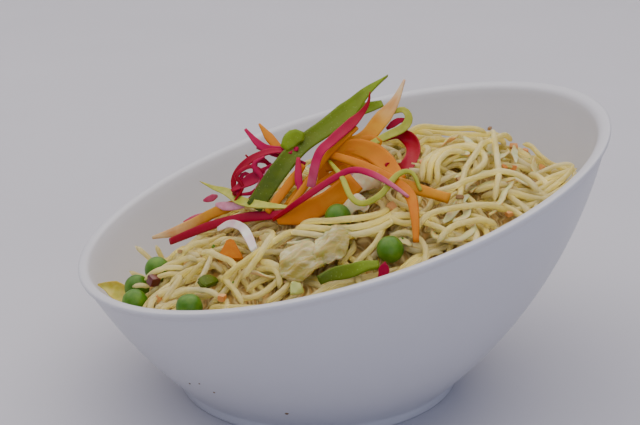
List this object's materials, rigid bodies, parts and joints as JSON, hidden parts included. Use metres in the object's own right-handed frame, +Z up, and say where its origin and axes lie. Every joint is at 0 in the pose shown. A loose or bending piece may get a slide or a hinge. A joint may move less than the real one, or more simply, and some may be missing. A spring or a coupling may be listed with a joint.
{
  "type": "bowl of noodles",
  "caption": "White slanted-rim bowl heaped with thin noodles, peas and cabbage, topped with a tuft of shredded pepper, carrot and red cabbage",
  "frame": {"origin": "on the table, below the middle of the rim's length and width", "axes": "+X along the slant to the high side of the rim, +Y to the far side, +Z up"},
  "size_m": [0.1981, 0.2018, 0.121],
  "materials": {
    "melamine": "satin white moulded melamine",
    "noodles": "boiled thin wheat noodles, lightly oiled",
    "garnish": "raw shredded vegetables, moist",
    "pea": "cooked green pea, moist skin",
    "cabbage": "cooked pale cabbage, moist",
    "pepper": "cooked green pepper skin, glossy",
    "carrot": "cooked carrot, moist",
    "beet": "diced beetroot, moist",
    "onion": "translucent onion strip",
    "red_cabbage": "raw red cabbage, glossy"
  },
  "bodies": {
    "root": {"bowl": "melamine", "noodles": "noodles", "garnish": "garnish", "pea_1": "pea", "pea_2": "pea", "pea_3": "pea", "pea_4": "pea", "pea_5": "pea", "pea_6": "pea", "cabbage_piece": "cabbage", "cabbage_leaf": "cabbage", "pepper_strip": "pepper", "pepper_dice": "pepper", "pepper_flake": "pepper", "carrot_chunk": "carrot", "beet_dice": "beet", "onion_strip": "onion", "red_cabbage_leaf": "red_cabbage"}
  },
  "joints": []
}
